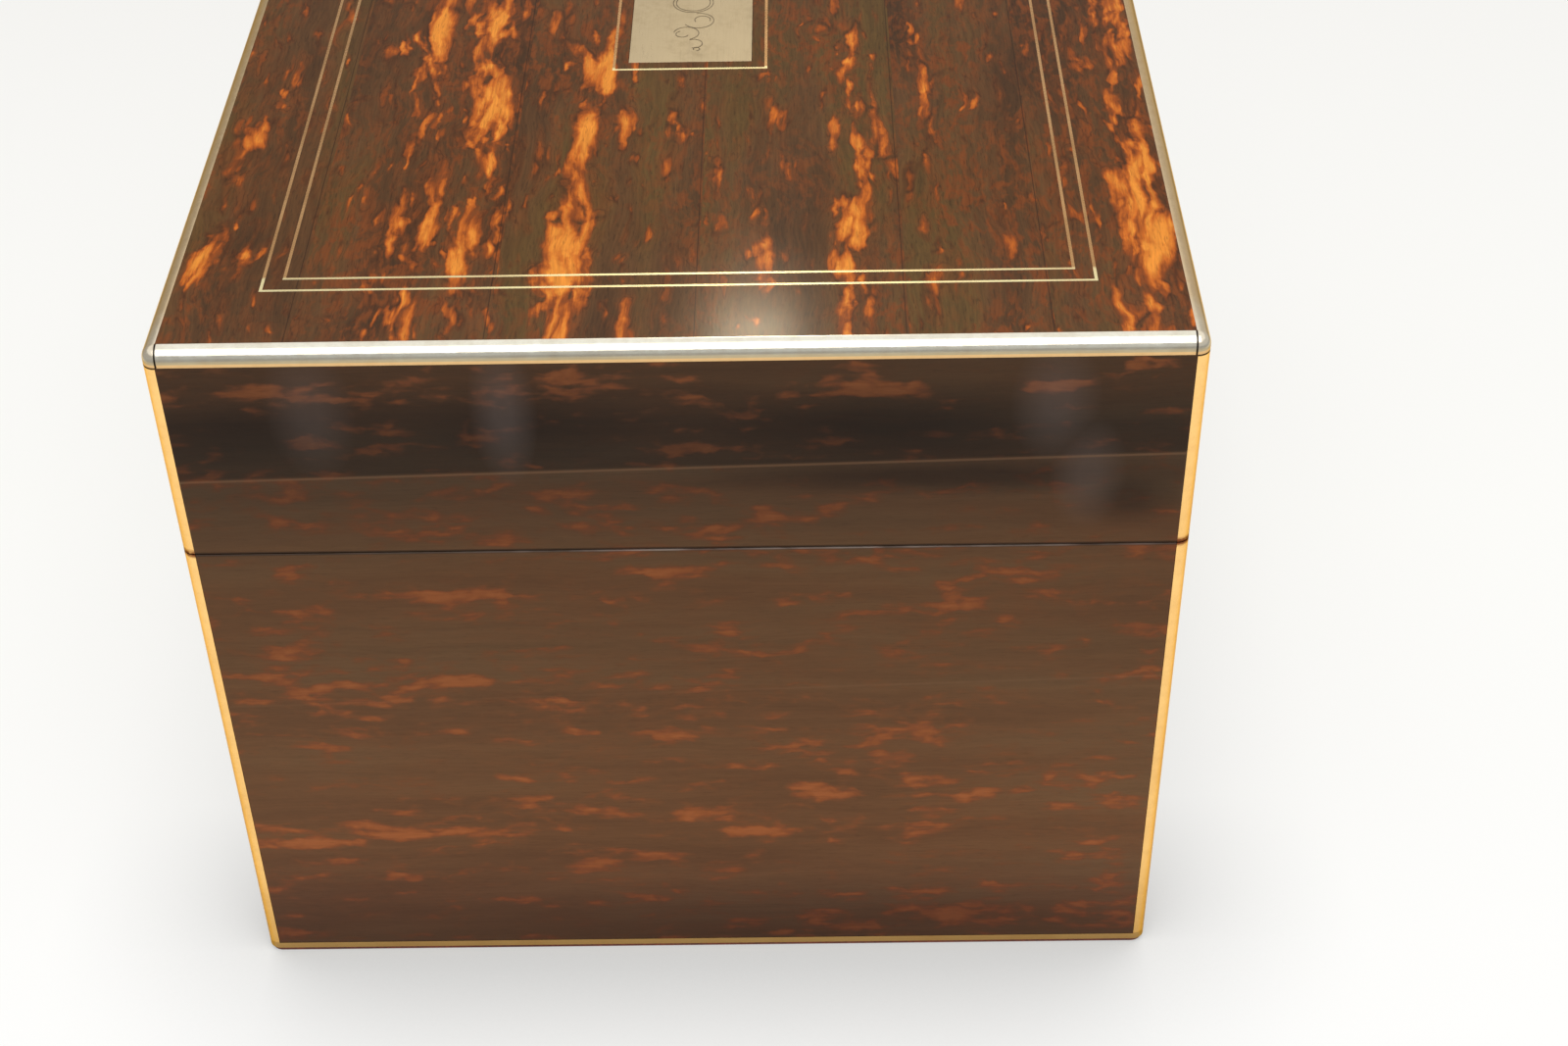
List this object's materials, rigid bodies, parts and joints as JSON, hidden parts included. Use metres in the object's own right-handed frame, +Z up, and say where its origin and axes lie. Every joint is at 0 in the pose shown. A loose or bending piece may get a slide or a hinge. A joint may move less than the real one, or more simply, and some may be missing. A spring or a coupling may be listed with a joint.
{
  "type": "dressing box",
  "caption": "Rectangular veneered dressing box with brass edging, hinged locking lid with a mirror, fitted lift-out tray and a spring-released jewel drawer.",
  "frame": {"origin": "middle of the underside, in the plane that the box stands on", "axes": "+X along the length of the box, +Y towards the hinges at the back, +Z up"},
  "size_m": [0.305, 0.2327, 0.193],
  "materials": {
    "coromandel": "french polished, glossy",
    "rim_wood": "polished",
    "mahogany": "satin",
    "edging_brass": "polished",
    "inlay_brass": "polished",
    "plate_silver": "satin",
    "fitting_brass": "polished",
    "steel": "ground",
    "velvet": "cut pile",
    "lid_leather": "grained",
    "underside_leather": "matt",
    "mirror": "bevelled plate"
  },
  "bodies": {
    "case": {"front_veneer": "coromandel", "back_veneer": "coromandel", "left_veneer": "coromandel", "right_veneer": "coromandel", "rim_lipping": "rim_wood", "bottom_board": "mahogany", "back_board": "mahogany", "front_board": "mahogany", "end_boards": "mahogany", "dust_board": "mahogany", "liner_boards": "mahogany", "corner_edgings": "edging_brass", "bottom_edgings": "edging_brass", "case_hinge_leaves": "fitting_brass", "hinge_pins": "fitting_brass", "case_screws": "fitting_brass", "lock_case": "fitting_brass", "lock_nozzle": "fitting_brass", "button_bush": "fitting_brass", "catch_spring": "steel", "drawer_spring": "steel", "tray_bottom": "velvet", "tray_walls": "velvet", "tray_dividers": "velvet", "underside_leather": "underside_leather"},
    "lid": {"lid_top_board": "mahogany", "lid_front_board": "mahogany", "lid_back_board": "mahogany", "lid_end_boards": "mahogany", "lid_top_veneer": "coromandel", "lid_front_veneer": "coromandel", "lid_back_veneer": "coromandel", "lid_left_veneer": "coromandel", "lid_right_veneer": "coromandel", "outer_stringing": "inlay_brass", "inner_stringing": "inlay_brass", "plate_stringing": "inlay_brass", "initial_plate": "plate_silver", "lid_front_edging": "edging_brass", "lid_back_edging": "edging_brass", "lid_left_edging": "edging_brass", "lid_right_edging": "edging_brass", "lid_corner_edgings": "edging_brass", "lid_rim_lipping": "rim_wood", "mirror_board": "lid_leather", "mirror_glass": "mirror", "mirror_rails": "mahogany", "lock_links": "fitting_brass", "lid_hinge_leaves": "fitting_brass", "lid_screws": "fitting_brass"},
    "mirror_catch": {"mirror_button": "fitting_brass"},
    "lock_cylinder": {"lock_barrel": "steel"},
    "lock_slide": {"lock_bolt": "fitting_brass"},
    "drawer": {"drawer_front": "mahogany", "drawer_veneer": "coromandel", "drawer_walls": "mahogany", "drawer_bottom": "mahogany", "drawer_lining": "velvet", "drawer_strike": "fitting_brass"},
    "drawer_release": {"release_button": "fitting_brass"}
  },
  "joints": [
    {"name": "lid_hinge", "type": "hinge", "parent": "case", "child": "lid", "pos_m": [0, 0.1145, 0.1365], "axis": [-1, 0, 0], "range_deg": [0, 100]},
    {"name": "lock_barrel_turn", "type": "hinge", "parent": "case", "child": "lock_cylinder", "pos_m": [0, -0.1145, 0.119], "axis": [0, -1, 0], "range_deg": [0, 90]},
    {"name": "lock_bolt_slide", "type": "slide", "parent": "case", "child": "lock_slide", "axis": [1, 0, 0], "range_m": [0, 0.00424]},
    {"name": "drawer_slide", "type": "slide", "parent": "case", "child": "drawer", "axis": [0, -1, 0], "range_m": [0, 0.12], "deforming": ["drawer_spring"]},
    {"name": "drawer_release_press", "type": "slide", "parent": "case", "child": "drawer_release", "axis": [0, 0, -1], "range_m": [0, 0.003], "stiffness_N_per_m": 400, "springref_m": -0.0005, "deforming": ["catch_spring"]},
    {"name": "mirror_button_turn", "type": "hinge", "parent": "lid", "child": "mirror_catch", "pos_m": [0, -0.1005, 0.1631], "axis": [0, 0, 1], "range_deg": [0, 90]}
  ],
  "couplings": [
    {"joint": "lock_barrel_turn", "follows": "lock_bolt_slide", "rad_per_m": 370.25}
  ]
}
